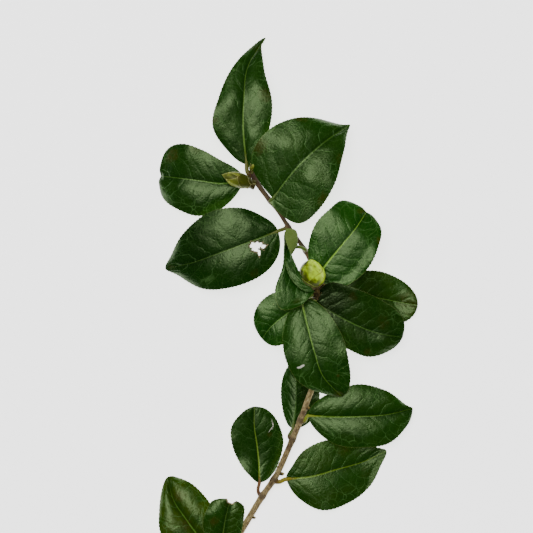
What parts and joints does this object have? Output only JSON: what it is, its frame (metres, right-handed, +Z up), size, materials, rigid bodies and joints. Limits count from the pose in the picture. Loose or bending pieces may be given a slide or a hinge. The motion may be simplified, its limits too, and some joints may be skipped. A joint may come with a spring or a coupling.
{
  "type": "camellia foliage branch",
  "caption": "Cut camellia twig with glossy serrated leaves, a round green flower bud and a pointed leaf bud, lying flat on a surface.",
  "frame": {"origin": "under the middle of the branch, on the surface it lies on", "axes": "+Y along the branch from its cut end to its top leaf, +X to the right seen from above, +Z up from the surface"},
  "size_m": [0.1824, 0.3853, 0.0415],
  "materials": {
    "bark": "matte",
    "leaf": "gloss",
    "flower_bud": "satin",
    "bud_scale": "satin",
    "brown_bud": "matte"
  },
  "bodies": {
    "root": {"stem": "bark", "leaf_top": "leaf", "leaf_upper_right": "leaf", "leaf_upper_left": "leaf", "leaf_mid_left": "leaf", "leaf_folded": "leaf", "leaf_mid_right": "leaf", "leaf_back_right": "leaf", "leaf_lower_right": "leaf", "leaf_small_left": "leaf", "leaf_front": "leaf", "leaf_behind_stem": "leaf", "leaf_right": "leaf", "leaf_right_low": "leaf", "leaf_left_low": "leaf", "leaf_bottom_left": "leaf", "leaf_bottom_bitten": "leaf", "flower_bud": "flower_bud", "leaf_bud_side": "bud_scale", "leaf_bud_end": "brown_bud", "axil_bud_1": "brown_bud", "axil_bud_2": "brown_bud", "axil_bud_3": "brown_bud", "axil_bud_4": "brown_bud"}
  },
  "joints": []
}
